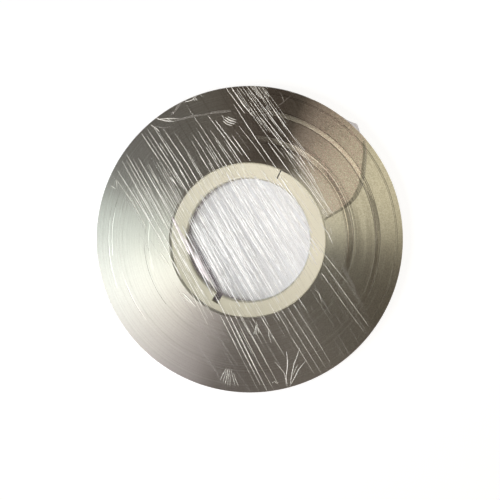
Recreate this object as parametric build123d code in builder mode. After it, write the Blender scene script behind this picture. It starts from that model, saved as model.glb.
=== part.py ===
"""Pancake coil of nickel-plated steel strip on a slotted plastic core, wrapped in clear stretch film.

The coil lies flat. The origin is under its middle, on the surface that it lies on, and +Z is the winding axis.
"""

import os
from math import sqrt

from build123d import *

# The strip and its winding, in millimetres.
STRIP_WIDTH = 10.0
STRIP_THICKNESS = 0.15
TURN_GAP = 0.005
TURNS = 300

# Groups of turns that crept sideways while winding, from the core outwards: the edges between the groups,
# as shares of the winding's build, and how far each stands out of the upper end, as a share of the creep.
SIDE_CREEP = 0.3
CREEP_TURNS = 2
GROUP_EDGE_SHARES = (0.07, 0.285, 0.355, 0.44, 0.555, 0.645, 0.7, 0.785, 0.835, 0.91)
GROUP_CREEP_SHARES = (0.15, -0.1, -0.7, 0.1, -0.05, -0.2, 1.0, 0.05, 0.45, -0.15, 0.2)

# The moulded core: a ring with a slit that takes the strip's first end, a flat beside the slit that lets the
# first turn lie down, and a keyway for the winding arbor.
CORE_BORE = 76.2
CORE_WALL = 9.4
CORE_FIT = 0.05
CORE_CHAMFER = 0.6
SLIT_WIDTH = 0.8
SLIT_DEPTH = 6.0
SLIT_ANGLE = 65.0
LEAD_FLAT_DEPTH = 0.5
KEYWAY_WIDTH = 4.2
KEYWAY_DEPTH = 5.4
KEYWAY_ANGLE = 241.5

# The stretch film: its turns lie on each other as one loop over both ends of the coil and round its rim.
FILM_THICKNESS = 0.3
FILM_FIT = 0.05
FILM_ANGLE = -59.0
# The loop's outline in the film's own axes, along and across its pull, as shares of the coil's radius:
# two straight edges that draw together, and a slack lobe that bulges out to the rim past the second edge.
FILM_LEFT_EDGE_SHARES = ((-1.2, -0.6), (1.2, -0.66))
FILM_RIGHT_EDGE_SHARES = ((1.2, 0.36), (0.145, 0.506))
FILM_LOBE_SHARES = ((-0.024, 0.896), (-0.29, 1.0))
FILM_END_SHARES = (-1.2, 1.0)

CUT_OVERRUN = 1.0

core_bore_radius = CORE_BORE / 2
core_radius = core_bore_radius + CORE_WALL
lead_flat_length = sqrt(core_radius**2 - (core_radius - LEAD_FLAT_DEPTH) ** 2)
coil_inner_radius = core_radius + CORE_FIT
turn_pitch = STRIP_THICKNESS + TURN_GAP
coil_build = TURNS * turn_pitch
coil_radius = coil_inner_radius + coil_build

# Heights above the surface that the coil lies on.
coil_bottom = FILM_THICKNESS
strip_bottom = coil_bottom - SIDE_CREEP * min(GROUP_CREEP_SHARES)
strip_top = strip_bottom + STRIP_WIDTH
coil_top = strip_top + SIDE_CREEP * max(GROUP_CREEP_SHARES)
film_top = coil_top + FILM_THICKNESS


def winding_section():
    """Half section of the winding: each group is as wide as the strip, and a few turns lead to the next one."""
    edges = [coil_inner_radius + share * coil_build for share in GROUP_EDGE_SHARES]
    half_ramp = CREEP_TURNS * turn_pitch / 2
    starts = [coil_inner_radius] + [edge + half_ramp for edge in edges]
    ends = [edge - half_ramp for edge in edges] + [coil_radius]
    upper_line = []
    lower_line = []
    for start, end, creep_share in zip(starts, ends, GROUP_CREEP_SHARES):
        shift = creep_share * SIDE_CREEP
        upper_line += [(start, strip_top + shift), (end, strip_top + shift)]
        lower_line += [(start, strip_bottom + shift), (end, strip_bottom + shift)]
    return upper_line + lower_line[::-1]


def film_points(edge_shares):
    """Points of one edge of the film, from shares of the coil's radius to millimetres."""
    return [(along * coil_radius, across * coil_radius) for along, across in edge_shares]


# The wound strip, turned as one piece about the winding axis.
with BuildPart() as strip_coil:
    with BuildSketch(Plane.XZ):
        with BuildLine():
            Polyline(*winding_section(), close=True)
        make_face()
    revolve(axis=Axis.Z)

# The core ring, with its edges broken before the slit, the flat beside it and the keyway are cut.
with BuildPart() as core_ring:
    with BuildSketch(Plane.XY.offset(strip_bottom)):
        Circle(core_radius)
        Circle(core_bore_radius, mode=Mode.SUBTRACT)
    extrude(amount=STRIP_WIDTH)
    chamfer(core_ring.edges().filter_by(GeomType.CIRCLE), length=CORE_CHAMFER)
    with BuildSketch(Plane.XY.offset(strip_bottom)):
        with PolarLocations(core_radius, 1, start_angle=SLIT_ANGLE):
            with Locations(((CUT_OVERRUN - SLIT_DEPTH) / 2, 0)):
                Rectangle(SLIT_DEPTH + CUT_OVERRUN, SLIT_WIDTH)
            with Locations(((CUT_OVERRUN - LEAD_FLAT_DEPTH) / 2, -(lead_flat_length + CUT_OVERRUN) / 2)):
                Rectangle(LEAD_FLAT_DEPTH + CUT_OVERRUN, lead_flat_length + CUT_OVERRUN)
        with PolarLocations(core_bore_radius, 1, start_angle=KEYWAY_ANGLE):
            with Locations(((KEYWAY_DEPTH - CUT_OVERRUN) / 2, 0)):
                Rectangle(KEYWAY_DEPTH + CUT_OVERRUN, KEYWAY_WIDTH)
    extrude(amount=STRIP_WIDTH, mode=Mode.SUBTRACT)

# The film: the coil's envelope cut to the film's outline, hollowed where the coil lies.
with BuildPart() as stretch_film:
    with BuildSketch():
        with BuildSketch(mode=Mode.PRIVATE) as outline:
            with BuildLine():
                left_edge = Polyline(*film_points(FILM_LEFT_EDGE_SHARES))
                right_edge = Polyline(*film_points(FILM_RIGHT_EDGE_SHARES))
                lobe = ThreePointArc(right_edge @ 1, *film_points(FILM_LOBE_SHARES))
                Polyline(lobe @ 1, *film_points([FILM_END_SHARES]), left_edge @ 0)
                Line(left_edge @ 1, right_edge @ 0)
            make_face()
        Circle(coil_radius + FILM_FIT + FILM_THICKNESS)
        add(outline.sketch, rotation=FILM_ANGLE, mode=Mode.INTERSECT)
    extrude(amount=film_top)
    with BuildSketch(Plane.XY.offset(coil_bottom)):
        Circle(coil_radius + FILM_FIT)
    extrude(amount=coil_top - coil_bottom, mode=Mode.SUBTRACT)

os.makedirs("parts", exist_ok=True)
strip_coil.part.label = "strip_coil"
core_ring.part.label = "core_ring"
stretch_film.part.label = "stretch_film"
export_step(strip_coil.part, "parts/strip_coil.step")
export_step(core_ring.part, "parts/core_ring.step")
export_step(stretch_film.part, "parts/stretch_film.step")
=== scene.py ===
"""Pancake coil of nickel-plated steel strip on its plastic core, wrapped in clear stretch film.

The coil lies flat on a white table and is seen from above.
"""

from math import cos, pi, radians, sin, tau

import bpy
import numpy as np
from mathutils import Matrix, Vector
from mathutils.geometry import delaunay_2d_cdt


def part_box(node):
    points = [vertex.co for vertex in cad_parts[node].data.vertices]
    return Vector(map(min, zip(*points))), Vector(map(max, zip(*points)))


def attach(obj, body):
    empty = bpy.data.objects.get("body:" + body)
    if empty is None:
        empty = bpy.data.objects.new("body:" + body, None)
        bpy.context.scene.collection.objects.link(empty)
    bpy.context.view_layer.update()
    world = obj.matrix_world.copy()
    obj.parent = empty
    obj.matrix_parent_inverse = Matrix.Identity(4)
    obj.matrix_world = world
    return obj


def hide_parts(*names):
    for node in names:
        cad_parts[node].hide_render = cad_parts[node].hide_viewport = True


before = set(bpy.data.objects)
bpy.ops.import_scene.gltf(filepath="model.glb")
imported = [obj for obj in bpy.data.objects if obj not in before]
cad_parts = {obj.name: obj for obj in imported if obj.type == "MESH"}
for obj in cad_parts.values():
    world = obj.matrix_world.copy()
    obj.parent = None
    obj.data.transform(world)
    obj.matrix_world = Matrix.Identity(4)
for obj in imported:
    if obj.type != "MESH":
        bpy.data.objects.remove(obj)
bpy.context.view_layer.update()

# The view: a camera held nearly straight above the coil, a little towards its upper right.
# The picture is square, and its scale is taken where it looks at the coil's upper end.
PICTURE_SIDE_PX = 500
PX_PER_METRE = 1631.9
COIL_MIDDLE_PX = (248.3, 240.2)
CAMERA_DISTANCE = 0.45
CAMERA_LEAN = radians(3.0)
CAMERA_LEAN_AZIMUTH = radians(36.0)
SENSOR_WIDTH_MM = 36.0

coil_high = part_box("strip_coil")[1]
picture_middle_px = PICTURE_SIDE_PX / 2
aim = Vector((
    (picture_middle_px - COIL_MIDDLE_PX[0]) / PX_PER_METRE,
    (COIL_MIDDLE_PX[1] - picture_middle_px) / PX_PER_METRE,
    coil_high.z,
))
view_back = Vector((
    sin(CAMERA_LEAN) * cos(CAMERA_LEAN_AZIMUTH),
    sin(CAMERA_LEAN) * sin(CAMERA_LEAN_AZIMUTH),
    cos(CAMERA_LEAN),
))
view_right = Vector((0, 1, 0)).cross(view_back).normalized()
view_up = view_back.cross(view_right)
camera_place = aim + CAMERA_DISTANCE * view_back

camera_data = bpy.data.cameras.new("camera")
camera_data.sensor_width = SENSOR_WIDTH_MM
camera_data.lens = SENSOR_WIDTH_MM * CAMERA_DISTANCE * PX_PER_METRE / PICTURE_SIDE_PX
camera = bpy.data.objects.new("camera", camera_data)
view_axes = Matrix((view_right, view_up, view_back)).transposed()
camera.matrix_world = Matrix.Translation(camera_place) @ view_axes.to_4x4()
bpy.context.scene.collection.objects.link(camera)
bpy.context.scene.camera = camera


# The core ring is a moulded ivory plastic ring. Its slit takes the strip's first end and its keyway the
# winding arbor. The coil's first turns hold it by their pull.
# Painted shade: the ring's colour is mottled at random and painted darker towards azimuth 210°.
CORE_IVORY = (0.97, 0.935, 0.775, 1)
CORE_MOTTLE_AND_SHADE = (0.40, 0.382, 0.285, 1)
SHADED_SIDE_AZIMUTH = radians(210.0)
MOTTLE_AND_SHADE_SHARE = 0.25
SIDE_SHADE_PER_METRE = 12
CLOUD_SCALE = 60
CLOUD_SHARE = 0.3
MOULD_GRAIN_SCALE = 2600
MOULD_GRAIN_DEPTH = 0.0002
MOULD_GRAIN_STRENGTH = 0.15
CORE_ROUGHNESS = 0.38
MOULD_GRAIN_ROUGHNESS = 0.16


class Finish:
    """One output of a material's nodes. Sums and products of outputs add Math nodes."""

    def __init__(self, tree, socket=None):
        self.tree = tree
        self.socket = socket

    def node(self, kind, settings=None, sockets=None, output=0):
        """Add a node: its own settings come first, then the values or links of its sockets."""
        made = self.tree.nodes.new(kind)
        for name, value in (settings or {}).items():
            setattr(made, name, value)
        for name, value in (sockets or {}).items():
            if isinstance(value, Finish):
                self.tree.links.new(value.socket, made.inputs[name])
            else:
                made.inputs[name].default_value = value
        return Finish(self.tree, made.outputs[output] if made.outputs else None)

    def math(self, operation, first, second):
        return self.node("ShaderNodeMath", {"operation": operation}, {0: first, 1: second})

    def vector(self, operation, *others, output=0):
        """Vector Math on this output and up to two more vectors."""
        sockets = dict(enumerate((self, *others)))
        return self.node("ShaderNodeVectorMath", {"operation": operation}, sockets, output)

    def __add__(self, other):
        return self.math("ADD", self, other)

    def __sub__(self, other):
        return self.math("SUBTRACT", self, other)

    def __mul__(self, other):
        return self.math("MULTIPLY", self, other)

    def __rsub__(self, other):
        return self.math("SUBTRACT", other, self)

    __radd__ = __add__
    __rmul__ = __mul__


def new_material(name):
    """An empty material, and the start of its nodes."""
    material = bpy.data.materials.new(name)
    material.use_nodes = True
    material.node_tree.nodes.clear()
    return material, Finish(material.node_tree)


def mixed(share, first, second, blend="MIX"):
    """A colour between two colours. The node's colours are its inputs 6 and 7 and its output 2."""
    return share.node(
        "ShaderNodeMix",
        {"data_type": "RGBA", "blend_type": blend},
        {"Factor": share, 6: first, 7: second},
        output=2,
    )


def noise(place, scale, detail):
    """Noise about one half, over places."""
    return place.node("ShaderNodeTexNoise", {}, {"Vector": place, "Scale": scale, "Detail": detail})


def towards(place, azimuth):
    """How far a place lies towards an azimuth."""
    return place.vector("DOT_PRODUCT", (cos(azimuth), sin(azimuth), 0.0), output="Value")


core_plastic, start = new_material("core_plastic")
place = start.node("ShaderNodeTexCoord", output="Object")
clouds = noise(place, CLOUD_SCALE, detail=4.0)
grain = noise(place, MOULD_GRAIN_SCALE, detail=2.0)
grain_bump = start.node("ShaderNodeBump", {}, {
    "Strength": MOULD_GRAIN_STRENGTH, "Distance": MOULD_GRAIN_DEPTH, "Height": grain,
})
# Random mottle plus painted shade that darkens the ring towards one side.
mottle_and_shade = CLOUD_SHARE * clouds + MOTTLE_AND_SHADE_SHARE + SIDE_SHADE_PER_METRE * towards(place, SHADED_SIDE_AZIMUTH)
plastic = start.node("ShaderNodeBsdfPrincipled", {}, {
    "Base Color": mixed(mottle_and_shade, CORE_IVORY, CORE_MOTTLE_AND_SHADE),
    "Roughness": CORE_ROUGHNESS + MOULD_GRAIN_ROUGHNESS * grain,
    "Normal": grain_bump,
})
start.node("ShaderNodeOutputMaterial", {}, {"Surface": plastic})
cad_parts["core_ring"].data.materials.clear()
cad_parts["core_ring"].data.materials.append(core_plastic)


# The strip is nickel-plated steel, slit to width and wound on the core in one long spiral. Its ends show the
# slit edge of every turn, and groups of turns crept sideways while it was wound.
TURNS = 300
TURN_SEGMENTS = 160
STRIP_WIDTH = 0.010
CORE_FIT = 0.00005
START_ANGLE = radians(65.0)
# Groups of turns, from the core outwards: the edges between them as shares of the winding, half the width of
# the ramp at each edge, and how far each group stands out as a share of the creep.
SIDE_CREEP = 0.0003
RAMP_SHARE = 0.008
GROUP_EDGE_SHARES = (0.07, 0.285, 0.355, 0.44, 0.555, 0.645, 0.7, 0.785, 0.835, 0.91)
GROUP_CREEP_SHARES = (0.1, 0.0, -0.4, 0.05, 0.0, -0.05, 0.4, 0.0, 0.15, -0.05, 0.05)
# Small differences between the turns, and the first turns that sank beside the core on one side.
TURN_JITTER = 0.000008
TURN_SWAY = 0.000012
SWAY_TURNS = 7
GAP_DEPTH = 0.0020
GAP_TURNS = 9
GAP_ANGLE = radians(200.0)

random = np.random.default_rng(7)
core_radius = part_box("core_ring")[1].x
winding_start = core_radius + CORE_FIT
winding_end = coil_high.x
strip_top = coil_high.z - SIDE_CREEP

group_knots = [0.0]
group_heights = [GROUP_CREEP_SHARES[0]]
for edge, before, after in zip(GROUP_EDGE_SHARES, GROUP_CREEP_SHARES, GROUP_CREEP_SHARES[1:]):
    group_knots += [edge - RAMP_SHARE, edge + RAMP_SHARE]
    group_heights += [before, after]

spiral_steps = np.arange(TURNS * TURN_SEGMENTS + 1)
spiral_turns = spiral_steps / TURN_SEGMENTS
spiral_angles = START_ANGLE + tau * spiral_turns
spiral_radii = winding_start + (winding_end - winding_start) * spiral_turns / TURNS
turn_numbers = np.arange(TURNS + 2)
sway_numbers = np.arange(0, TURNS + 2 * SWAY_TURNS, SWAY_TURNS)
spiral_tops = (
    strip_top
    + SIDE_CREEP * np.interp(spiral_turns / TURNS, group_knots, group_heights)
    + np.interp(spiral_turns, turn_numbers, random.normal(0, TURN_JITTER, len(turn_numbers)))
    + np.interp(spiral_turns, sway_numbers, random.normal(0, TURN_SWAY, len(sway_numbers)))
)
spiral_bottoms = spiral_tops - STRIP_WIDTH
gap_reach = np.clip(np.cos(spiral_angles - GAP_ANGLE), 0, 1)
spiral_tops -= GAP_DEPTH * gap_reach * np.clip(1 - spiral_turns / GAP_TURNS, 0, 1)


def add_piece(name, points, faces, materials):
    """A mesh object made of points and faces, with its materials."""
    mesh = bpy.data.meshes.new(name)
    mesh.from_pydata(points, [], faces)
    for material in materials:
        mesh.materials.append(material)
    piece = bpy.data.objects.new(name, mesh)
    bpy.context.scene.collection.objects.link(piece)
    return piece


def spiral_points(heights):
    """The spiral's points at the given heights."""
    x_places = spiral_radii * np.cos(spiral_angles)
    y_places = spiral_radii * np.sin(spiral_angles)
    return np.column_stack((x_places, y_places, heights))


step_count = len(spiral_steps)
inner_steps = spiral_steps[: step_count - TURN_SEGMENTS - 1]
upper_faces = np.column_stack((
    inner_steps, inner_steps + TURN_SEGMENTS, inner_steps + TURN_SEGMENTS + 1, inner_steps + 1,
))
lower_faces = upper_faces[:, ::-1] + step_count
outside = spiral_steps[-TURN_SEGMENTS - 1:]
inside = spiral_steps[: TURN_SEGMENTS + 1]
outside_faces = np.column_stack((
    outside[:-1] + step_count, outside[1:] + step_count, outside[1:], outside[:-1],
))
inside_faces = np.column_stack((
    inside[:-1], inside[1:], inside[1:] + step_count, inside[:-1] + step_count,
))
tail_face = [(outside[0], outside[0] + step_count, outside[-1] + step_count, outside[-1])]
lead_face = [(inside[0], inside[-1], inside[-1] + step_count, inside[0] + step_count)]
strip_faces = np.concatenate((upper_faces, lower_faces, outside_faces, inside_faces, tail_face, lead_face))

# The nickel's colours go from cool to warm across the coil, a painted warm reflection on the side towards
# azimuth 20°.
# Some turns get a painted highlight, and turns at a step between groups get painted shade.
NICKEL_COOL = (0.40, 0.397, 0.375, 1)
NICKEL_WARM_REFLECTION = (0.50, 0.468, 0.355, 1)
# Painted highlight: lighter nickel colours for turns that catch the light.
GLINT_COOL = (0.56, 0.55, 0.52, 1)
GLINT_WARM = (0.72, 0.665, 0.53, 1)
# Painted shade: darker nickel colours for turns at steps between groups.
STEP_SHADE_COOL = (0.21, 0.207, 0.197, 1)
STEP_SHADE_WARM = (0.26, 0.243, 0.19, 1)
NICKEL_SHADE = (0.78, 0.77, 0.76, 1)
WARM_REFLECTION_AZIMUTH = radians(20.0)
WARM_REFLECTION_REACH = 0.09
# The satin of the slit edges: rings of turns that differ, and a speckle that grows to the warm side.
RING_SCALE = 900
RING_SHARE = 0.7
RING_ROUGHNESS = 0.08
SPECKLE_SCALE = 1300
SPECKLE_REACH = 0.06
SPECKLE_SHARES = (0.4, 2.0)
SHADE_SHIFT = 0.15
SHADE_SPAN = (0.75, 0.25)
SATIN = 0.39
SMOOTH = 0.28
# The grain's way on the turns, in parts of a full turn, and how far slitting rolled the edges outwards.
ALONG_TURNS = 0.25
CREPT_TURN = -0.06
STEP_TURN = 0.05
GRAIN_STRENGTH = 0.95
ROLLOVER = 0.08


def ramp(value, first, last, low=0.0, high=1.0):
    """A value that goes from low to high while another goes from first to last."""
    return value.node("ShaderNodeMapRange", {}, {
        "Value": value, "From Min": first, "From Max": last, "To Min": low, "To Max": high,
    })


def nickel_material(name, grain_turn, roughness, cool, warm_reflection):
    """Satin slit edges of nickel-plated strip, with their grain along the turns."""
    material, start = new_material(name)
    place = start.node("ShaderNodeTexCoord", output="Object")
    warm_reflection_side = towards(place, WARM_REFLECTION_AZIMUTH)
    flat_place = place.vector("MULTIPLY", (1, 1, 0))
    radius = flat_place.vector("LENGTH", output="Value")
    rings = start.node("ShaderNodeTexNoise", {"noise_dimensions": "1D"}, {
        "W": radius, "Scale": RING_SCALE, "Detail": 5.0,
    })
    speckle = noise(place, SPECKLE_SCALE, detail=2.0) - 0.5
    speckle_share = ramp(warm_reflection_side, 0.0, SPECKLE_REACH, *SPECKLE_SHARES)
    # Painted warm reflection: the nickel is warmer towards azimuth 20°.
    tint = mixed(ramp(warm_reflection_side, -WARM_REFLECTION_REACH, WARM_REFLECTION_REACH), cool, warm_reflection)
    shaded = ramp(RING_SHARE * rings + SHADE_SHIFT + speckle_share * speckle, *SHADE_SPAN)
    level = start.node("ShaderNodeNewGeometry", output="Normal")
    rolled = flat_place.vector("NORMALIZE").vector("MULTIPLY_ADD", (ROLLOVER,) * 3, level)
    nickel = start.node("ShaderNodeBsdfPrincipled", {}, {
        "Base Color": mixed(shaded, tint, NICKEL_SHADE, blend="MULTIPLY"),
        "Metallic": 1.0,
        "Roughness": roughness + RING_ROUGHNESS * rings,
        "Normal": rolled.vector("NORMALIZE"),
        "Anisotropic": GRAIN_STRENGTH,
        "Anisotropic Rotation": grain_turn,
    })
    start.node("ShaderNodeOutputMaterial", {}, {"Surface": nickel})
    return material


nickel_edge = nickel_material("nickel_edge", ALONG_TURNS, SATIN, NICKEL_COOL, NICKEL_WARM_REFLECTION)
crept_edge = nickel_material("crept_edge", ALONG_TURNS + CREPT_TURN, SATIN, NICKEL_COOL, NICKEL_WARM_REFLECTION)
# A smoother, lighter nickel that paints a highlight.
painted_glint_edge = nickel_material("painted_glint_edge", ALONG_TURNS + CREPT_TURN, SMOOTH, GLINT_COOL, GLINT_WARM)
# A darker nickel that paints shade at steps between groups.
shaded_step_edge = nickel_material("shaded_step_edge", ALONG_TURNS + STEP_TURN, SATIN, STEP_SHADE_COOL, STEP_SHADE_WARM)

wound_strip = add_piece(
    "wound_strip",
    np.concatenate((spiral_points(spiral_tops), spiral_points(spiral_bottoms))).tolist(),
    strip_faces.tolist(),
    [nickel_edge, crept_edge, painted_glint_edge, shaded_step_edge],
)

# Which finish each turn's upper edge has, by its share of the winding and its azimuth.
CREPT, GLINT, STEP_SHADE = range(1, 4)
CREPT_MIDDLE = radians(29.0)
CREPT_REACH = radians(51.0)
CREPT_RAGGED = radians(7.0)
# Two groups on the right that crept most: where each gets a painted highlight, and the painted highlight lines
# along its two edges.
CREPT_GROUPS = (2, 6)
GLINT_SPANS = ((radians(47.0), radians(68.0)), (radians(28.0), radians(61.0)))
GLINT_LINE_SHARES = ((0.013, 0.013), (0.008, 0.0))
GLINT_LINES_FROM = radians(-3.0)
# Painted shade: the lower part of each crept group from this azimuth, lines this near a group's edge, and
# lines at these single turns.
SHADED_FROM = radians(2.0)
STEP_SHARE = 0.012
FINE_SHADE_LINE_SHARES = (0.262, 0.385, 0.4, 0.91, 0.928)
FINE_SHADE_LINE_SHARE = 0.0036
# Single turns between those groups that crept.
STRAY_SPAN = (0.3, 0.64)
STRAY_CHANCE = 0.25
STRAY_TO = radians(30.0)
# Single turns on the left painted with a highlight, and with painted shade just outside: how far out they lie,
# and the azimuths where they show.
GLINT_ARCS = (
    (0.304, radians(164.0), radians(190.0)),
    (0.354, radians(180.0), radians(217.0)),
    (0.700, radians(196.0), radians(213.0)),
    (0.790, radians(167.0), radians(187.0)),
    (0.835, radians(172.0), radians(195.0)),
)
GLINT_ARC_SHARE = 0.0036

face_shares = (inner_steps / TURN_SEGMENTS + 0.5) / TURNS
crept_reaches = random.normal(CREPT_REACH, CREPT_RAGGED, TURNS)[inner_steps // TURN_SEGMENTS]
face_turns = (spiral_angles[inner_steps] + pi) % tau - pi
ragged = crept_reaches - CREPT_REACH
crept = abs(face_turns - CREPT_MIDDLE) < crept_reaches
stray = random.random(TURNS)[inner_steps // TURN_SEGMENTS] < STRAY_CHANCE
stray &= (face_shares > STRAY_SPAN[0]) & (face_shares < STRAY_SPAN[1]) & (face_turns < STRAY_TO + ragged)
strip_kinds = np.zeros(len(strip_faces), int)


def near_share(share, reach):
    """Which faces lie this near to a share of the winding."""
    return abs(face_shares - share) < reach


def finish_faces(chosen, kind):
    """Give some faces of the upper end their finish."""
    strip_kinds[np.flatnonzero(chosen)] = kind


finish_faces(crept & stray, CREPT)
# Painted highlight on parts of the two crept groups, and painted shade along their edges and lower parts.
for group, (glint_from, glint_to), line_shares in zip(CREPT_GROUPS, GLINT_SPANS, GLINT_LINE_SHARES):
    group_edges = GROUP_EDGE_SHARES[group - 1:group + 1]
    for edge in group_edges:
        finish_faces(crept & near_share(edge, STEP_SHARE), STEP_SHADE)
    in_group = crept & (face_shares > group_edges[0]) & (face_shares < group_edges[1])
    below = in_group & (face_turns < glint_from + ragged)
    finish_faces(in_group, CREPT)
    finish_faces(in_group & ~below & (face_turns < glint_to + ragged), GLINT)
    finish_faces(below & (face_turns > SHADED_FROM + ragged), STEP_SHADE)
    for edge, line_share in zip(group_edges, line_shares):
        line = below & near_share(edge, line_share)
        finish_faces(line & (face_turns > GLINT_LINES_FROM + ragged), GLINT)
# Painted shade: dark lines at single turns.
for edge in FINE_SHADE_LINE_SHARES:
    finish_faces(crept & near_share(edge, FINE_SHADE_LINE_SHARE), STEP_SHADE)
face_azimuths = spiral_angles[inner_steps] % tau - ragged
# Painted highlight on single turns on the left, with painted shade just outside each.
for share, arc_from, arc_to in GLINT_ARCS:
    on_arc = (face_azimuths > arc_from) & (face_azimuths < arc_to)
    finish_faces(on_arc & near_share(share, GLINT_ARC_SHARE), GLINT)
    finish_faces(on_arc & near_share(share + 2 * GLINT_ARC_SHARE, GLINT_ARC_SHARE), STEP_SHADE)
wound_strip.data.polygons.foreach_set("material_index", strip_kinds)
end_face_count = len(upper_faces) + len(lower_faces)
smooth_flags = np.arange(len(strip_faces)) >= end_face_count
wound_strip.data.polygons.foreach_set("use_smooth", smooth_flags)
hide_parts("strip_coil")
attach(wound_strip, "root")


# The stretch film is a clear loop pulled tight over both ends and round the rim. Its pull draws it into white
# folds, it crumples where it was bunched or torn off, and a slack lobe lies over the upper right.
PULL_ANGLE = radians(-59.0)
# The film's edges on each side of the pull and its slack lobe: places along and across the pull, as shares of
# the coil's radius.
LEFT_EDGE_SHARES = ((-1.2, -0.6), (1.2, -0.66))
RIGHT_EDGE_SHARES = ((1.2, 0.36), (0.145, 0.506))
LOBE_SHARES = (
    (0.145, 0.506), (0.147, 0.6), (0.14, 0.7), (0.1, 0.79), (0.02, 0.87), (-0.08, 0.942), (-0.2, 1.0),
)
FILM_GAP = 0.00005
# How far apart the sheet's points lie: between the folds, on its edges and on the folds.
MM_PER_METRE = 1000
SHEET_SPACING = 0.004
SHEET_JITTER = 0.3
EDGE_SPACING = 0.0025
EDGE_SUBSTEPS = 10
FOLD_SPACING = 0.0015
MERGE_DISTANCE = 1e-7
RIM_TOLERANCE = 0.00002
# The kinds of fold, in the order of their finishes, and the shape of a fold: its slope, its greatest height,
# the least that shows, and how it swells from its tips.
BRIGHT, MILD, FAINT, BORE, ROLLED_SHADE, SHADOW_LINE, PINK_LIT, FLAP = range(1, 9)
FOLD_SLOPE = 0.36
TALLEST_FOLD = 0.00016
LEAST_FOLD = 0.00001
FOLD_TIP = 0.06
FOLD_SWELL = 0.4
FOLD_SWELL_SPAN = (0.75, 1.15)
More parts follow.
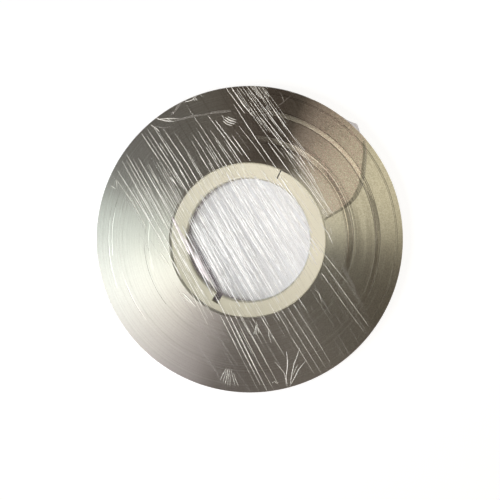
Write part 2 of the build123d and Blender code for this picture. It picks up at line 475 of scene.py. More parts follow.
# Folds that show singly: how white each is, its width, and points on it across and along the pull, all in
# millimetres from the coil's middle.
FOLDS = (
    (MILD, 0.36, ((-50.5, -74), (-49, -52))),
    (BRIGHT, 0.46, ((-47, -78), (-46, -50), (-46, -24))),
    (BRIGHT, 0.46, ((-41.5, -82), (-43, -38), (-43.5, -23))),
    (MILD, 0.36, ((-39, -81), (-39.5, -50))),
    (BRIGHT, 0.46, ((-37, -84), (-37.5, -59), (-39, -30))),
    (MILD, 0.36, ((-35, -81), (-35.5, -59), (-36.5, -33))),
    (BRIGHT, 0.46, ((-32, -78), (-32.5, -49), (-33, -27))),
    (MILD, 0.36, ((-29.5, -71), (-29.5, -49), (-29, -38))),
    (MILD, 0.36, ((-28.5, -71.5), (-29, -58))),
    (FAINT, 0.35, ((-25, -73.5), (-25.5, -52), (-26, -33))),
    (MILD, 0.36, ((-23.5, -71.5), (-24.5, -46))),
    (BRIGHT, 0.46, ((-22.5, -90), (-21.5, -70))),
    (MILD, 0.36, ((-20.5, -88.5), (-19, -63), (-18.5, -49))),
    (BRIGHT, 0.65, ((-21, -58), (-20.5, -52))),
    (BRIGHT, 0.46, ((-18, -90.5), (-17, -64), (-16.5, -36))),
    (MILD, 0.36, ((-16, -79), (-15.5, -69.5))),
    (BRIGHT, 0.46, ((-14, -90.5), (-13.5, -68), (-13.5, -49))),
    (MILD, 0.36, ((-13, -84.5), (-11.5, -58.5), (-11, -36))),
    (BRIGHT, 0.46, ((-9.5, -85), (-8, -58.5), (-8, -47.5))),
    (MILD, 0.36, ((-5, -80.5), (-4, -63), (-4, -37))),
    (FAINT, 0.35, ((-3, -68), (-3, -53))),
    (MILD, 0.36, ((1.5, -70), (1.5, -49))),
    (MILD, 0.36, ((4, -74.5), (4.5, -64), (4.5, -37))),
    (MILD, 0.36, ((8, -75), (8.5, -56), (8, -47.5))),
    (MILD, 0.36, ((10, -90), (11, -72), (12.5, -36))),
    (MILD, 0.36, ((14.5, -71), (17, -43.5))),
    (BRIGHT, 0.46, ((18, -79), (20, -60), (21, -36))),
    (BRIGHT, 0.46, ((20.5, -73), (23.5, -46.5))),
    (BRIGHT, 0.46, ((24.5, -60), (26, -41))),
    (FAINT, 0.35, ((27.5, -62.5), (29, -46.5))),
    (MILD, 0.36, ((31, -62.5), (33, -48), (34, -35.5))),
    (BRIGHT, 0.46, ((35, -75.5), (36, -48), (37.5, -27))),
    (BRIGHT, 0.46, ((36, -88), (38, -67))),
    (BRIGHT, 0.8, ((39, -86), (40, -72), (41.5, -62.5))),
    (MILD, 0.36, ((41.5, -62.5), (43, -45), (45, -31.5))),
    (MILD, 0.36, ((41.5, -83), (42.5, -67), (44, -57.5))),
    (MILD, 0.36, ((43, -83), (44, -76))),
    (BRIGHT, 0.46, ((45, -82.5), (47, -58.5), (50, -35.5))),
    (BRIGHT, 0.46, ((45, -60), (48, -35.5), (50.5, -22))),
    (BRIGHT, 0.46, ((47.5, -81), (50, -62.5), (52.5, -38), (53.5, -22))),
    (MILD, 0.36, ((51, -64), (52, -57))),
    (BRIGHT, 0.46, ((54, -71), (54, -62.5), (56, -37))),
    (BRIGHT, 0.46, ((41, -45), (43, -22))),
    (MILD, 0.36, ((50.5, -22), (51.5, 0), (52, 11))),
    (MILD, 0.36, ((50, -35.5), (52, -19), (52.5, -5))),
    (MILD, 0.36, ((53.5, -22), (53, -5), (52, 5), (53, 19))),
    (BRIGHT, 0.46, ((46, -23), (48.5, -7), (49.5, 11))),
    (MILD, 0.36, ((43, -22), (44, -3))),
    (FAINT, 0.35, ((54.5, -22), (56.5, 5.5))),
    (FAINT, 0.35, ((55, 2.5), (55.5, 16))),
    (MILD, 0.36, ((37.5, -27), (39.5, -15), (41, 3), (42, 14))),
    (BRIGHT, 0.46, ((43, 13.5), (44, 21.5), (43, 28.5))),
    (MILD, 0.36, ((47.5, 17.5), (45.5, 23))),
    (MILD, 0.36, ((34.5, 19), (35.5, 30))),
    (MILD, 0.36, ((35.5, 17.5), (37.5, 30))),
    (MILD, 0.36, ((-43, -16), (-43.5, 5.5))),
    (BRIGHT, 0.46, ((-41, -22), (-40.5, -8), (-41, 16))),
    (FAINT, 0.35, ((-39.5, -22), (-39.5, -10))),
    (FAINT, 0.35, ((-45, -16.5), (-44.5, 5.5))),
    (BRIGHT, 0.46, ((-46.5, -12.5), (-47, -3))),
    (BRIGHT, 0.46, ((-35, 16), (-35.5, 31))),
    (MILD, 0.36, ((-38.5, 29), (-40, 50), (-41, 61))),
    (BRIGHT, 0.46, ((-35.5, 27), (-36, 34), (-38, 57), (-39.5, 80))),
    (BRIGHT, 0.46, ((-33.5, 30), (-35, 49), (-37, 73), (-38, 87))),
    (MILD, 0.36, ((-30, 27), (-32, 46), (-33.5, 68), (-34, 87))),
    (MILD, 0.36, ((-27.5, 30), (-28.5, 57), (-30, 87))),
    (MILD, 0.36, ((-22, 19), (-22.5, 43), (-23, 61))),
    (FAINT, 0.35, ((-23, 59), (-23, 77))),
    (MILD, 0.36, ((-17.5, 35), (-17.5, 54), (-17.5, 73))),
    (FAINT, 0.35, ((-11, 46), (-11, 62))),
    (MILD, 0.36, ((-7.5, 44), (-7.5, 58), (-8, 64))),
    (MILD, 0.3, ((-8, 62), (-7.5, 91))),
    (MILD, 0.3, ((-4.5, 44), (-4, 73), (-3.5, 92))),
    (MILD, 0.3, ((-0.5, 44), (0.5, 93))),
    (MILD, 0.3, ((3.5, 44), (4.5, 76), (4.5, 93))),
    (FAINT, 0.35, ((5.5, 46), (6, 55))),
    (FAINT, 0.35, ((7.5, 45), (8.5, 73))),
    (FAINT, 0.35, ((11.5, 54), (12, 58))),
    (FAINT, 0.35, ((17, 43), (17.5, 57), (18, 73))),
    (MILD, 0.26, ((28.5, 45), (30, 65), (32, 87))),
    (MILD, 0.36, ((32, 33), (34, 60), (36, 83))),
    (MILD, 0.36, ((35, 27), (37, 43.5), (38.5, 53))),
    (FAINT, 0.35, ((38.5, 52), (40, 72), (42, 83))),
    (FAINT, 0.35, ((38, 34), (38.5, 40))),
)
# Crumples where the film was bunched or torn off, given like the folds.
CRUMPLES = (
    (MILD, 0.4, ((-52, 60.5), (-56, 62.8), (-59.5, 65.2))),
    (MILD, 0.35, ((-52.6, 61.6), (-58.8, 67.2))),
    (MILD, 0.4, ((-51.4, 61.2), (-54.6, 65.2), (-58.2, 68.8))),
    (MILD, 0.35, ((-52.4, 63.6), (-57, 70))),
    (MILD, 0.4, ((-50.8, 62), (-53, 66.4), (-56, 71.2))),
    (FAINT, 0.4, ((-51.4, 65), (-54.2, 71.6))),
    (MILD, 0.4, ((-50.2, 62.6), (-51.6, 67), (-53.2, 73))),
    (MILD, 0.35, ((-50, 65.4), (-51, 70), (-51.6, 74.2))),
    (BRIGHT, 0.5, ((-25.5, 89), (-23.5, 84), (-20.5, 80.5), (-17.5, 76), (-15, 70.5))),
    (MILD, 0.4, ((-25.5, 87.5), (-23, 81.5), (-23.5, 78), (-24.5, 72.5))),
    (BRIGHT, 0.5, ((-24, 90), (-20, 85), (-15.5, 80), (-11, 76.5), (-7, 73))),
    (BRIGHT, 0.45, ((-23.5, 89.5), (-19, 87), (-14.5, 84), (-8, 81.5))),
    (MILD, 0.4, ((-19.5, 85.5), (-15.5, 82.5), (-13, 81))),
    (MILD, 0.4, ((-32.5, 82.5), (-30.5, 83), (-30.5, 84.5), (-29, 84.5))),
    (MILD, 0.4, ((-21.1, 45.3), (-24, 48.6), (-27, 51.5))),
    (MILD, 0.35, ((-22.2, 47.6), (-26, 52.3))),
    (MILD, 0.35, ((-21.6, 47), (-24.2, 52.4))),
    (FAINT, 0.4, ((-20.4, 46.4), (-21.2, 50.6))),
    (MILD, 0.4, ((-17.5, 52), (-18, 54.5), (-19.5, 57), (-20, 59.5), (-20.5, 61.5))),
    (FAINT, 0.4, ((-16.6, 53.5), (-18, 58), (-18.4, 61))),
    (MILD, 0.35, ((19, 46), (20.5, 50), (19.5, 53.5), (19, 56.5))),
    (MILD, 0.5, ((28, 40), (28.5, 44), (28.5, 47.5))),
    (FAINT, 0.5, ((12, 54.5), (11.5, 57))),
    (BRIGHT, 0.7, ((-10, -93.5), (-8.5, -91.5), (-5.5, -88.5), (-2, -86))),
    (MILD, 0.6, ((-8, -91.5), (-3.5, -89), (2, -85.5))),
    (MILD, 0.5, ((-4.5, -90), (-3.5, -87.5), (-1.5, -85.5))),
    (FAINT, 1.6, ((-1.5, -86), (3.5, -84.5), (10, -82.5), (15.5, -80))),
    (FAINT, 1.6, ((15.5, -80), (22.5, -77.5), (31.5, -73))),
    (MILD, 0.5, ((-15, -91.5), (-13, -87.5), (-12.5, -85))),
    (FAINT, 0.6, ((-16, -89.5), (-13, -89.5), (-9, -85.5), (-4.5, -84))),
    (BRIGHT, 0.4, ((-0.5, -91), (1, -91), (1, -90), (0, -89.5), (-0.5, -90.5))),
    (BRIGHT, 0.6, ((10.5, -93.2), (11.5, -91.8), (15, -91), (18, -91.8))),
    (FAINT, 0.5, ((12, -94), (15, -92.5))),
    (BRIGHT, 0.5, ((16, -92.4), (15.5, -90), (17.5, -91), (17, -88.8))),
    (FAINT, 0.5, ((8, -93.5), (10.5, -91.5))),
    (MILD, 0.4, ((20.5, -91.5), (21, -89.5), (22.5, -89.5))),
    (FAINT, 1.4, ((1, -90), (4.5, -92), (9.5, -94))),
    (BRIGHT, 0.46, ((25.5, -74), (25.5, -71.5))),
    (MILD, 0.6, ((24.2, -70.6), (25.2, -67.6), (27.6, -64.8))),
    (BRIGHT, 0.8, ((25.2, -71.2), (26.6, -68), (29.4, -65))),
    (BRIGHT, 0.8, ((26.4, -71.6), (28, -68.6), (30.8, -65.4))),
    (MILD, 0.5, ((27.8, -71.2), (29.2, -69), (31.6, -66.4))),
    (MILD, 0.4, ((53, -77.5), (54, -68.5))),
    (MILD, 0.4, ((51.5, -77.5), (52, -68))),
    (FAINT, 0.4, ((54, -76), (55, -67))),
    (MILD, 0.4, ((50.5, -79), (51, -69.5))),
    (MILD, 0.4, ((55.5, -75.5), (55, -72), (55.5, -68))),
    (FAINT, 0.4, ((50.5, -72.5), (54.5, -72))),
    (FAINT, 0.4, ((51, -70.5), (55, -70.5))),
    (FAINT, 0.4, ((63, -68), (62.5, -63.5), (62, -61), (60.5, -61.5))),
    (FAINT, 0.4, ((67, -65), (69, -63.5), (70.5, -61.5))),
    (FAINT, 0.4, ((56, -60.5), (61, -61), (68, -62))),
    (MILD, 0.4, ((-56, -72.5), (-55, -72), (-54, -69))),
    (MILD, 0.4, ((-52.5, -73), (-50.5, -73.5), (-52.5, -70), (-53, -68))),
    (BRIGHT, 0.9, ((-51.5, 7), (-50, 12.5), (-49, 18.5))),
    (MILD, 0.6, ((-52, 9), (-50.5, 15))),
    (MILD, 0.7, ((-50.5, -21.5), (-50, -16.5), (-50, -11.5))),
    # Painted shadow: the dark folds here lie along the bore's shaded wall.
    (SHADOW_LINE, 0.6, ((-36, -11), (-36.5, 0), (-35.7, 12.4))),
    (SHADOW_LINE, 0.7, ((-28.7, -26.3), (-30.5, -12), (-31.5, -2), (-32.2, 9.1))),
    (BRIGHT, 0.9, ((-34.2, -27), (-34.8, -21), (-35.3, -16.5))),
    (BRIGHT, 0.5, ((-36.5, -29), (-37, -20), (-37.4, -12))),
    (BRIGHT, 0.5, ((-39.5, -27.5), (-40.5, -14), (-41.5, -2))),
    (SHADOW_LINE, 0.8, ((-29.5, -22), (-30, -10), (-30.5, 2))),
    (SHADOW_LINE, 0.6, ((-36, -10), (-36.3, -3), (-36.5, 4))),
    (SHADOW_LINE, 1.6, ((-30.5, 2), (-31, 8), (-31.5, 13), (-31.5, 19))),
    # Painted pink light: wide pinkish folds between the painted shadow lines.
    (PINK_LIT, 2.4, ((-32.5, -9), (-33.5, 0), (-33.5, 9))),
    (PINK_LIT, 2.0, ((-33, -36), (-34, -22), (-35.5, -11))),
    (PINK_LIT, 1.6, ((-32.5, -22), (-33.6, -12), (-34.6, -3), (-35, 5))),
)
# Fine folds with no place of their own: how white they are, how many there are, and where they lie across and
# along the pull, how long they are and how wide, each as lowest and highest, in millimetres.
FINE_FOLDS = (
    (BORE, 60, (-33, 37), (-43, 43), (25, 80), (0.5, 0.9)),
    (BORE, 60, (-33, 37), (-43, 43), (10, 45), (0.2, 0.32)),
    (BRIGHT, 22, (-46, 20), (-66, -28), (15, 35), (0.22, 0.32)),
    (BRIGHT, 8, (-30, 16), (26, 58), (10, 25), (0.22, 0.3)),
    (MILD, 24, (-50, -16), (-72, -16), (12, 36), (0.2, 0.28)),
    (FAINT, 20, (-50, -16), (-75, -16), (8, 30), (0.25, 0.4)),
    (BRIGHT, 8, (-47, -32), (-40, 30), (15, 35), (0.3, 0.4)),
    (MILD, 16, (-47, -32), (-36, 36), (10, 30), (0.25, 0.35)),
    (MILD, 5, (-40, -24), (26, 88), (20, 50), (0.2, 0.26)),
    (MILD, 16, (44, 57), (-40, 6), (8, 25), (0.2, 0.3)),
    (MILD, 14, (45, 57), (-84, -64), (4, 10), (0.25, 0.3)),
    (MILD, 14, (40, 56), (-86, -36), (14, 36), (0.2, 0.28)),
    (MILD, 14, (47, 58), (4, 26), (2, 5), (0.25, 0.35)),
)
# Spots that no fine fold crosses, on the keyway and on the bore's shaded wall: across, along and radius.
CLEAR_SPOTS = ((-35.6, 20.6, 2.3), (-31.2, 16, 1.3), (-31, 9, 1.0), (-30.4, 3, 0.8))
# The circle that folds over the bore end on, where a fine fold lies in its part of the span, and how it leans.
BORE_FOLDS_RADIUS = 46
FINE_FOLD_PLACE = (0.15, 0.85)
LEAN_BY_ACROSS = 0.0012
LEAN_SPREAD = radians(1.2)
# The slack lobe's rolled edge and the dark line on it, each with its width. Both are dark film that paints
# shade.
LOBE_ROLLS = ((ROLLED_SHADE, 0.0034), (SHADOW_LINE, 0.0007))

film_rim = winding_end + FILM_GAP


def evenly_spaced(line, spacing):
    """The same line with points at an even spacing."""
    line = np.asarray(line)
    reach = np.concatenate(([0], np.cumsum(np.linalg.norm(np.diff(line, axis=0), axis=1))))
    stops = np.linspace(0, reach[-1], max(2, round(reach[-1] / spacing) + 1))
    return np.column_stack((np.interp(stops, reach, line[:, 0]), np.interp(stops, reach, line[:, 1])))


def smooth_line(points, steps=12):
    """A smooth line through some points."""
    points = np.asarray(points)
    before = np.vstack((2 * points[0] - points[1], points[:-1]))
    after = np.vstack((points[1:], 2 * points[-1] - points[-2]))
    pulls = (after - before) / 2
    share = np.linspace(0, 1, steps, endpoint=False)[:, None]
    stretches = [
        (1 + 2 * share) * (1 - share) ** 2 * points[index]
        + share * (1 - share) ** 2 * pulls[index]
        + share**2 * (3 - 2 * share) * points[index + 1]
        - share**2 * (1 - share) * pulls[index + 1]
        for index in range(len(points) - 1)
    ]
    return np.vstack((*stretches, points[-1:]))


def within_rim(line):
    """The part of a line inside the film's rim, with an end that crosses the rim set on it."""
    line = evenly_spaced(line, EDGE_SPACING / EDGE_SUBSTEPS)
    radii = np.linalg.norm(line, axis=1)
    kept = np.flatnonzero(radii < film_rim)
    if kept[0] > 0:
        line[kept[0]] *= film_rim / radii[kept[0]]
    if kept[-1] < len(line) - 1:
        line[kept[-1]] *= film_rim / radii[kept[-1]]
    return evenly_spaced(line[kept], EDGE_SPACING)


def rim_arc(first, last):
    """Points along the rim, turning left from one point to another, without those two."""
    begin = np.arctan2(first[1], first[0])
    turn = (np.arctan2(last[1], last[0]) - begin) % tau
    angles = begin + np.linspace(0, turn, round(turn * film_rim / EDGE_SPACING))[1:-1]
    return film_rim * np.column_stack((np.cos(angles), np.sin(angles)))


# The film is planned in its own axes, along and across the pull.
left_edge = within_rim(winding_end * np.array(LEFT_EDGE_SHARES))
right_edge = within_rim(winding_end * np.array(RIGHT_EDGE_SHARES))
lobe_edge = within_rim(smooth_line(winding_end * np.array(LOBE_SHARES)))
outline = np.concatenate((
    left_edge,
    rim_arc(left_edge[-1], right_edge[0]),
    right_edge,
    lobe_edge[1:],
    rim_arc(lobe_edge[-1], left_edge[0]),
))


class Crease:
    """A fold that stands up from the film: its line, and its half width and height at each point."""

    def __init__(self, shade, width, line):
        self.shade = shade
        self.line = evenly_spaced(line, FOLD_SPACING)
        count = len(self.line)
        swell = np.sin(np.linspace(FOLD_TIP, pi - FOLD_TIP, count)) ** FOLD_SWELL
        swell *= random.uniform(*FOLD_SWELL_SPAN, count)
        self.half_widths = swell * width / 2
        self.heights = np.minimum(FOLD_SLOPE * self.half_widths, TALLEST_FOLD)

    def flanks(self):
        """The lines on either side, where the fold leaves the sheet."""
        along = np.gradient(self.line, axis=0)
        along /= np.linalg.norm(along, axis=1)[:, None]
        sideways = np.column_stack((-along[:, 1], along[:, 0])) * self.half_widths[:, None]
        return self.line + sideways, self.line - sideways

    def nears(self, across, along, radius):
        """Whether the fold comes this near to a spot, given in millimetres."""
        ways = self.line * MM_PER_METRE - (along, across)
        return np.linalg.norm(ways, axis=1).min() < radius

    def lift(self, points):
        """How high the fold stands at each of these points."""
        margin = self.half_widths.max()
        low, high = self.line.min(axis=0) - margin, self.line.max(axis=0) + margin
        near = np.flatnonzero(((points > low) & (points < high)).all(axis=1))
        best = np.zeros(len(points))
        for index in range(len(self.line) - 1):
            begin = self.line[index]
            step = self.line[index + 1] - begin
            share = np.clip((points[near] - begin) @ step / (step @ step), 0, 1)
            away = np.linalg.norm(points[near] - begin - share[:, None] * step, axis=1)
            width = np.interp(share, (0, 1), self.half_widths[index:index + 2])
            height = np.interp(share, (0, 1), self.heights[index:index + 2])
            best[near] = np.maximum(best[near], height * np.clip(1 - away / width, 0, 1))
        return best


creases = []
for shade, width, points in FOLDS + CRUMPLES:
    line = np.array(points)[:, ::-1] / MM_PER_METRE
    creases.append(Crease(shade, width / MM_PER_METRE, line))
for shade, count, across_span, along_span, length_span, width_span in FINE_FOLDS:
    for slot in range(count):
        across = np.interp(slot + random.uniform(*FINE_FOLD_PLACE), (0, count), across_span)
        length = random.uniform(*length_span)
        along = random.uniform(along_span[0], max(along_span[0], along_span[1] - length))
        slip = length * (random.normal(0, LEAN_SPREAD) + LEAN_BY_ACROSS * across)
        line = np.array(((along, across), (along + length, across + slip))) / MM_PER_METRE
        if shade == BORE:
            line[:, 0] *= np.sqrt(1 - (across / BORE_FOLDS_RADIUS) ** 2)
        crease = Crease(shade, random.uniform(*width_span) / MM_PER_METRE, line)
        if not any(crease.nears(*spot) for spot in CLEAR_SPOTS):
            creases.append(crease)
inwards = -lobe_edge / np.linalg.norm(lobe_edge, axis=1)[:, None]
for shade, width in LOBE_ROLLS:
    creases.append(Crease(shade, width, lobe_edge + inwards * LOBE_ROLLS[0][1] / 2))

flat_points = [*outline]
flat_edges = [(index, (index + 1) % len(outline)) for index in range(len(outline))]


def add_line(line):
    """Make a line an edge that the film folds along."""
    first = len(flat_points)
    flat_points.extend(line)
    flat_edges.extend((index, index + 1) for index in range(first, first + len(line) - 1))


for crease in creases:
    add_line(crease.line)
    for flank in crease.flanks():
        add_line(flank)
grid = np.arange(-film_rim, film_rim, SHEET_SPACING)
net = np.array([(x, y) for x in grid for y in grid])
net += random.uniform(-SHEET_JITTER, SHEET_JITTER, net.shape) * SHEET_SPACING
flat_points.extend(net[np.linalg.norm(net, axis=1) < film_rim - SHEET_SPACING / 2])


def inside_outline(points):
    """Which points lie inside the film's outline."""
    found = np.zeros(len(points), bool)
    for (x0, y0), (x1, y1) in zip(outline, np.roll(outline, -1, axis=0)):
        crosses = (y0 > points[:, 1]) != (y1 > points[:, 1])
        if y0 != y1:
            found ^= crosses & (points[:, 0] < x0 + (points[:, 1] - y0) * (x1 - x0) / (y1 - y0))
    return found


made = delaunay_2d_cdt([Vector(point) for point in flat_points], flat_edges, [], 0, MERGE_DISTANCE)
plan = np.array([tuple(point) for point in made[0]])
triangles = np.array([tuple(face) for face in made[2]])
centres = plan[triangles].mean(axis=1)
triangles = triangles[inside_outline(centres)]
used, triangles = np.unique(triangles, return_inverse=True)
plan = plan[used]
triangles = triangles.reshape(-1, 3)
centres = plan[triangles].mean(axis=1)

lifts = np.zeros(len(plan))
face_kinds = np.zeros(len(triangles), int)
face_lifts = np.full(len(triangles), LEAST_FOLD)
for crease in creases:
    lifts = np.maximum(lifts, crease.lift(plan))
    crease_lifts = crease.lift(centres)
    face_kinds[crease_lifts > face_lifts] = crease.shade
    face_lifts = np.maximum(face_lifts, crease_lifts)

edges = np.sort(np.concatenate((triangles[:, :2], triangles[:, 1:], triangles[:, ::2])), axis=1)
edges, uses = np.unique(edges, axis=0, return_counts=True)
on_rim = np.linalg.norm(plan, axis=1) > film_rim - RIM_TOLERANCE
rim_edges = [tuple(edge) for edge in edges[uses == 1] if on_rim[edge].all()]

# Under the coil the film lies just above the table, and its folds are pressed flat.
FILM_UNDER = 0.00012
UNDER_FOLD_SHARE = 0.2
sheet_top = coil_high.z + FILM_GAP
upper = np.column_stack((plan, sheet_top + lifts))
lower = np.column_stack((plan, FILM_UNDER - UNDER_FOLD_SHARE * lifts))
film_points = upper.tolist() + lower.tolist()
film_faces = triangles.tolist() + (triangles[:, ::-1] + len(plan)).tolist()
film_kinds = face_kinds.tolist() * 2

# Where torn film stands out from the rim: the azimuth, half the width and the reach of each flap.
FLAPS = (
    (radians(47.0), radians(3.2), 0.0026),
    (radians(50.5), radians(1.5), 0.0009),
)
# How high the film's rows of points down the rim lie, and the share of a flap's reach that each has.
WALL_LEVELS = (0.92, 0.5, 0.08)
FLAP_SHARES = (1.0, 0.2, 0.0)
wall_points = {}
flapping = set()
for index in sorted({index for edge in rim_edges for index in edge}):
    outwards = plan[index] / np.linalg.norm(plan[index])
    azimuth = np.arctan2(outwards[1], outwards[0]) + PULL_ANGLE
    flap = 0
    for middle, half_width, flap_reach in FLAPS:
        flap = max(flap, flap_reach * (1 - abs((azimuth - middle + pi) % tau - pi) / half_width))
    if flap > 0:
        flapping.add(index)
    column = [index]
    for level, flap_share in zip(WALL_LEVELS, FLAP_SHARES):
        radius = film_rim + FILM_GAP + lifts[index] + flap_share * flap
        column.append(len(film_points))
        film_points.append((*(outwards * radius), FILM_UNDER + level * (sheet_top - FILM_UNDER)))
    wall_points[index] = column + [index + len(plan)]
for first, second in rim_edges:
    if plan[first][0] * plan[second][1] < plan[first][1] * plan[second][0]:
        first, second = second, first
    for level in range(len(WALL_LEVELS) + 1):
        film_faces.append((
            wall_points[first][level + 1], wall_points[second][level + 1],
            wall_points[second][level], wall_points[first][level],
        ))
        film_kinds.append(FLAP if level == 0 and {first, second} & flapping else 0)

# The clear film's colours, and where it is slack, tight or over the bore: where each change begins and ends.
# The tight film's dark brown is painted shade over the metal.
FILM_HAZE = (0.85, 0.83, 0.82, 1)
TIGHT_FILM_SHADE = (0.035, 0.022, 0.016, 1)
SLACK_HAZE_AND_HIGHLIGHT = (0.92, 0.70, 0.58, 1)
FILM_ROUGHNESS = 0.3
SLACK_HIGHLIGHT_AZIMUTH = radians(35.0)
SLACK_HIGHLIGHT_SIDE = (0.75, 0.95)
SLACK_ACROSS = (0.044, 0.054)
SLACK_HAZE_AND_HIGHLIGHT_TINT = (0.4, 0.9)
TIGHT_SHADE_REACH = (0.046, 0.050)
TIGHT_SHADE_ALONG = (0.0, -0.035)
TIGHT_SHADE_ACROSS = (-0.030, 0.010)
TIGHT_SHADE_TINT = (0.0, 0.4)
BORE_REACH = (0.040, 0.036)
# Streaks and bands that the pull draws out, and the slack lobe's speckle.
PULL_STRETCH = (0.03, 1, 1)
STREAK_SCALE = 900
BAND_SCALE = 330
FILM_SPECKLE_SCALE = 1500
# How much the film hides: everywhere, in streaks, where it is tight and paints shade, in the lobe's speckle
# and over the bore.
CLEAR_COVER = 0.02
STREAK_COVER = (0.55, 0.8, 0.0, 0.22)
TIGHT_SHADE_COVER = (0.5, 0.75, 0.06, 0.32)
FILM_SPECKLE_SPAN = (0.4, 0.7)
FILM_SPECKLE_COVER = (0.9, 0.96, 0.3, 0.55)
BAND_COVER = (0.42, 0.65, 0.0, 0.15)


def film_place(start):
    """A place on the film in its own axes, along and across the pull."""
    place = start.node("ShaderNodeTexCoord", output="Object")
    return start.node("ShaderNodeVectorRotate", {"rotation_type": "Z_AXIS"}, {
        "Vector": place, "Angle": -PULL_ANGLE,
    })


clear_film, start = new_material("clear_film")
place = start.node("ShaderNodeTexCoord", output="Object")
flat_place = place.vector("MULTIPLY", (1, 1, 0))
reach = flat_place.vector("LENGTH", output="Value")
slack_highlight_side = towards(flat_place.vector("NORMALIZE"), SLACK_HIGHLIGHT_AZIMUTH)
turned = film_place(start)
along = start.node("ShaderNodeSeparateXYZ", {}, {"Vector": turned}, output="X")
across = start.node("ShaderNodeSeparateXYZ", {}, {"Vector": turned}, output="Y")
pulled = turned.vector("MULTIPLY", PULL_STRETCH)
streaks = noise(pulled, STREAK_SCALE, detail=3.0)
bands = noise(pulled, BAND_SCALE, detail=2.0)
speckle = noise(place, FILM_SPECKLE_SCALE, detail=2.0)

# Partly painted highlight: the slack lobe's pinkish haze is real film, but it lies only towards azimuth 35°,
# over the metal's highlight, and grows denser there.
slack_haze_and_highlight = ramp(slack_highlight_side, *SLACK_HIGHLIGHT_SIDE) * ramp(across, *SLACK_ACROSS)
over_bore = ramp(reach, *BORE_REACH)
# Painted shade: where the film is tight it turns dark brown and hides more of the metal.
tight_shade = ramp(reach, *TIGHT_SHADE_REACH) * ramp(along, *TIGHT_SHADE_ALONG) * ramp(across, *TIGHT_SHADE_ACROSS) * (1 - slack_haze_and_highlight)
cover = (
    CLEAR_COVER
    + ramp(streaks, *STREAK_COVER)
    + tight_shade * ramp(slack_highlight_side, *TIGHT_SHADE_COVER)
    + slack_haze_and_highlight * ramp(speckle, *FILM_SPECKLE_SPAN, 0.0, ramp(slack_highlight_side, *FILM_SPECKLE_COVER))
    + over_bore * ramp(bands, *BAND_COVER)
)
haze_and_shade = mixed(ramp(tight_shade, *TIGHT_SHADE_TINT), FILM_HAZE, TIGHT_FILM_SHADE)
sheet = start.node("ShaderNodeBsdfPrincipled", {}, {
    "Base Color": mixed(ramp(slack_haze_and_highlight, *SLACK_HAZE_AND_HIGHLIGHT_TINT), haze_and_shade, SLACK_HAZE_AND_HIGHLIGHT),
    "Roughness": FILM_ROUGHNESS,
    "Alpha": cover,
})
start.node("ShaderNodeOutputMaterial", {}, {"Surface": sheet})

# The finish of each kind of fold: its colour, and the least and most that it hides. The rolled edge and the
# dark folds are dark film that paints shade, and the pinkish folds carry painted pink light.
FOLD_FINISHES = (
    ("bright_fold", (0.99, 0.985, 0.94, 1), 0.85, 1.0),
    ("mild_fold", (0.98, 0.97, 0.90, 1), 0.5, 1.0),
    ("faint_fold", (0.90, 0.88, 0.85, 1), 0.05, 0.3),
    ("bore_fold", (0.97, 0.98, 1.0, 1), 0.45, 1.0),
    ("shaded_rolled_edge", (0.13, 0.11, 0.085, 1), 0.1, 0.6),
    ("shadow_line_fold", (0.07, 0.04, 0.06, 1), 0.4, 0.8),
    ("pink_lit_fold", (0.97, 0.89, 0.93, 1), 0.45, 0.9),
    ("torn_flap", (0.50, 0.45, 0.49, 1), 0.4, 0.8),
)
FLECK_STRETCH = (0.15, 1, 1)
FLECK_SCALE = 900
FLECK_SPAN = (0.25, 0.75)
FOLD_ROUGHNESS = 0.2
FOLD_SHEEN = 0.9


def fold_material(name, colour, least_cover, most_cover):
    """Film folded on itself, which scatters light and hides what is under it, more in some flecks."""
    material, start = new_material(name)
    flecks = noise(film_place(start).vector("MULTIPLY", FLECK_STRETCH), FLECK_SCALE, detail=2.0)
    fold = start.node("ShaderNodeBsdfPrincipled", {}, {
        "Base Color": colour,
        "Roughness": FOLD_ROUGHNESS,
        "Specular IOR Level": FOLD_SHEEN,
        "Alpha": ramp(flecks, *FLECK_SPAN, least_cover, most_cover),
    })
    start.node("ShaderNodeOutputMaterial", {}, {"Surface": fold})
    return material


film_materials = [clear_film, *(fold_material(*finish) for finish in FOLD_FINISHES)]
film = add_piece("film_wrap", film_points, film_faces, film_materials)
film.data.transform(Matrix.Rotation(PULL_ANGLE, 4, "Z"))
film.data.polygons.foreach_set("material_index", film_kinds)
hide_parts("stretch_film")
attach(film, "root")


# The stage: a white table top under the coil. It looks white to the camera and in the metal, and keeps the
# coil's shadow. Inside the bore and under the core it lies in shade.
FLOOR_SIDE = 6.0
BEYOND_REACH = (0.055, 0.085)
TABLE_IN_BORE = (0.40, 0.41, 0.425, 1)
TABLE_BEYOND = (0.36, 0.36, 0.36, 1)
TABLE_ROUGHNESS = 0.9
GLOW_FAR = (0.57, 0.573, 0.583, 1)
GLOW_NEAR = (0.13, 0.128, 0.135, 1)
GLOW_BEYOND = (0.82, 0.82, 0.82, 1)
GLOW_AZIMUTH = radians(203.0)
GLOW_REACH = 0.028
NO_GLOW = (0, 0, 0, 1)
WALL_SHADE = (0.05, 0.04, 0.045, 1)
WALL_SHADE_AZIMUTH = radians(190.0)
WALL_SHADE_REACH = (0.0360, 0.0378)
WALL_SHADE_SIDE = (-0.1, 0.6)
CORE_SHADE_REACH = (0.0396, 0.0408)

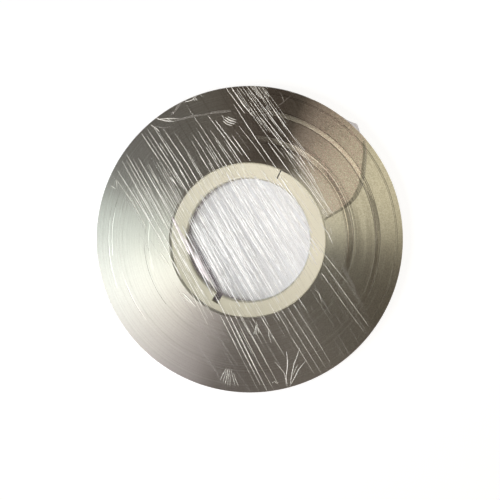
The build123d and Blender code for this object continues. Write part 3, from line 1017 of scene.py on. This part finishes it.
table_white, start = new_material("table_white")
seen = start.node("ShaderNodeLightPath", output="Is Camera Ray")
mirrored = start.node("ShaderNodeLightPath", output="Is Glossy Ray")
through = start.node("ShaderNodeLightPath", output="Is Transmission Ray")
place = start.node("ShaderNodeTexCoord", output="Object")
reach = place.vector("LENGTH", output="Value")
beyond = ramp(reach, *BEYOND_REACH)
shade_side = towards(place.vector("NORMALIZE"), WALL_SHADE_AZIMUTH)
by_wall = ramp(reach, *WALL_SHADE_REACH) * ramp(shade_side, *WALL_SHADE_SIDE)
under_core = ramp(reach, *CORE_SHADE_REACH)
shaded = (by_wall + under_core) * (1 - beyond)
bore_table = mixed(shaded, TABLE_IN_BORE, WALL_SHADE)
near_wall = ramp(towards(place, GLOW_AZIMUTH), -GLOW_REACH, GLOW_REACH)
bore_glow = mixed(shaded, mixed(near_wall, GLOW_FAR, GLOW_NEAR), WALL_SHADE)
glow = mixed(beyond, bore_glow, GLOW_BEYOND)
table = start.node("ShaderNodeBsdfPrincipled", {}, {
    "Base Color": mixed(beyond, bore_table, TABLE_BEYOND),
    "Roughness": TABLE_ROUGHNESS,
    "Emission Color": mixed(seen + mirrored + through, NO_GLOW, glow),
    "Emission Strength": 1.0,
})
start.node("ShaderNodeOutputMaterial", {}, {"Surface": table})
half = FLOOR_SIDE / 2
floor_corners = [(-half, -half, 0), (half, -half, 0), (half, half, 0), (-half, half, 0)]
floor = add_piece("table_top", floor_corners, [(0, 1, 2, 3)], [table_white])


# The light: two narrow soft lamps close by on the left, one a little green and one a little pink, a wide lamp
# behind them, a warm one on the right and two weak fills, in a dim brownish room.
# Each row has a lamp's name, azimuth, distance, width, height, power, colour and spread.
LAMPS = (
    ("left_window", radians(187.0), 0.26, 0.14, 0.20, 0.0425, (0.90, 1.0, 0.98), radians(56.0)),
    ("low_window", radians(226.0), 0.26, 0.14, 0.20, 0.0231, (1.0, 0.93, 1.0), radians(60.0)),
    ("far_lamp", radians(208.0), 0.90, 0.50, 0.30, 2.50, (1.0, 0.965, 0.93), radians(180.0)),
    ("right_lamp", radians(25.0), 0.45, 0.30, 0.24, 0.49, (1.0, 0.97, 0.82), radians(180.0)),
    ("low_fill", radians(280.0), 0.60, 0.40, 0.30, 0.16, (1.0, 0.94, 0.96), radians(180.0)),
    ("high_fill", radians(132.0), 0.60, 0.40, 0.30, 0.22, (0.88, 0.96, 1.0), radians(180.0)),
)
LAMP_ELEVATION = radians(52.0)
# The narrow lamps are aimed at the coil's left side, the others at its middle.
LAMP_AIM = Vector((-0.078, -0.02, 0.0))
ROOM_COLOUR = (0.127, 0.097, 0.086, 1)

for name, azimuth, distance, width, height, power, tint, spread in LAMPS:
    lamp_data = bpy.data.lights.new(name, "AREA")
    lamp_data.shape = "ELLIPSE"
    lamp_data.size = width
    lamp_data.size_y = height
    lamp_data.energy = power
    lamp_data.color = tint
    lamp_data.spread = spread
    lamp = bpy.data.objects.new(name, lamp_data)
    level = cos(LAMP_ELEVATION)
    lamp_way = Vector((level * cos(azimuth), level * sin(azimuth), sin(LAMP_ELEVATION)))
    lamp.location = distance * lamp_way
    aim_point = LAMP_AIM if spread < pi else Vector()
    lamp.rotation_euler = (lamp.location - aim_point).to_track_quat("Z", "Y").to_euler()
    bpy.context.scene.collection.objects.link(lamp)

room = bpy.data.worlds.new("room")
room.use_nodes = True
room.node_tree.nodes["Background"].inputs["Color"].default_value = ROOM_COLOUR
bpy.context.scene.world = room
bpy.context.scene.view_settings.view_transform = "Standard"
